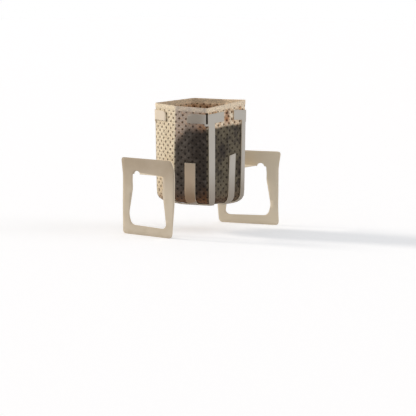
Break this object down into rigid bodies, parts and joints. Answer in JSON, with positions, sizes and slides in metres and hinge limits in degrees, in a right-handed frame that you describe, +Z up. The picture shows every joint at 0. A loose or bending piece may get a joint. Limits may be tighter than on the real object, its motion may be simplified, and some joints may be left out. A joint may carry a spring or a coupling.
{
  "type": "drip coffee filter",
  "caption": "Used hanging-ear drip coffee bag: dotted nonwoven pouch held open by glued paperboard cards whose folded ears hang over a cup rim",
  "frame": {"origin": "centre of the bounding box in X and Y, at the lower edges of the ears", "axes": "X from the left ear to the right ear, Y along the ears' width, Z up as it hangs on a cup"},
  "size_m": [0.0908, 0.0442, 0.0761],
  "materials": {
    "pouch_fabric": "embossed nonwoven, wet and coffee stained",
    "card_board": "uncoated kraft-lined paperboard with pale cut edges",
    "wet_coffee": "wet ground coffee"
  },
  "bodies": {
    "root": {"filter_pouch": "pouch_fabric", "coffee_grounds": "wet_coffee", "hanger_card_left": "card_board", "hanger_card_right": "card_board"}
  },
  "joints": []
}
